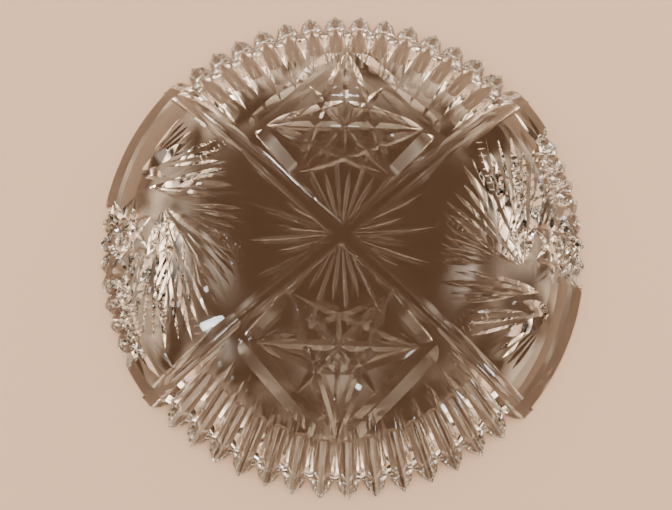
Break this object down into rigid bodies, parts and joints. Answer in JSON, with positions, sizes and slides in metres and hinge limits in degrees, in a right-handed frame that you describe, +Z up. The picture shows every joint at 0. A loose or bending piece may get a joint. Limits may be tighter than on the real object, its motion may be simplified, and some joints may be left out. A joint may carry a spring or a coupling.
{
  "type": "cut glass bowl",
  "caption": "Shallow round cut-glass bowl, stored mouth down, with sawtooth rim stretches, crossing hollow arms, star panels, pinwheel leaf panels and a rayed foot.",
  "frame": {"origin": "on the bowl's axis in the plane that its rim stands on when it lies mouth down: the bottom centre of its box", "axes": "+Z up through the foot, which is on top because the bowl is stored mouth down as it was pictured; the toothed rim stretches are centred on +Y and -Y and the pinwheel leaf panels on +X and -X; turn it half a turn about X to use it"},
  "size_m": [0.199, 0.2024, 0.035],
  "materials": {
    "lead_crystal": "clear lead crystal, wheel-cut facets polished bright, foot ground flat and lightly worn"
  },
  "bodies": {
    "root": {"cut_glass_bowl": "lead_crystal"}
  },
  "joints": []
}
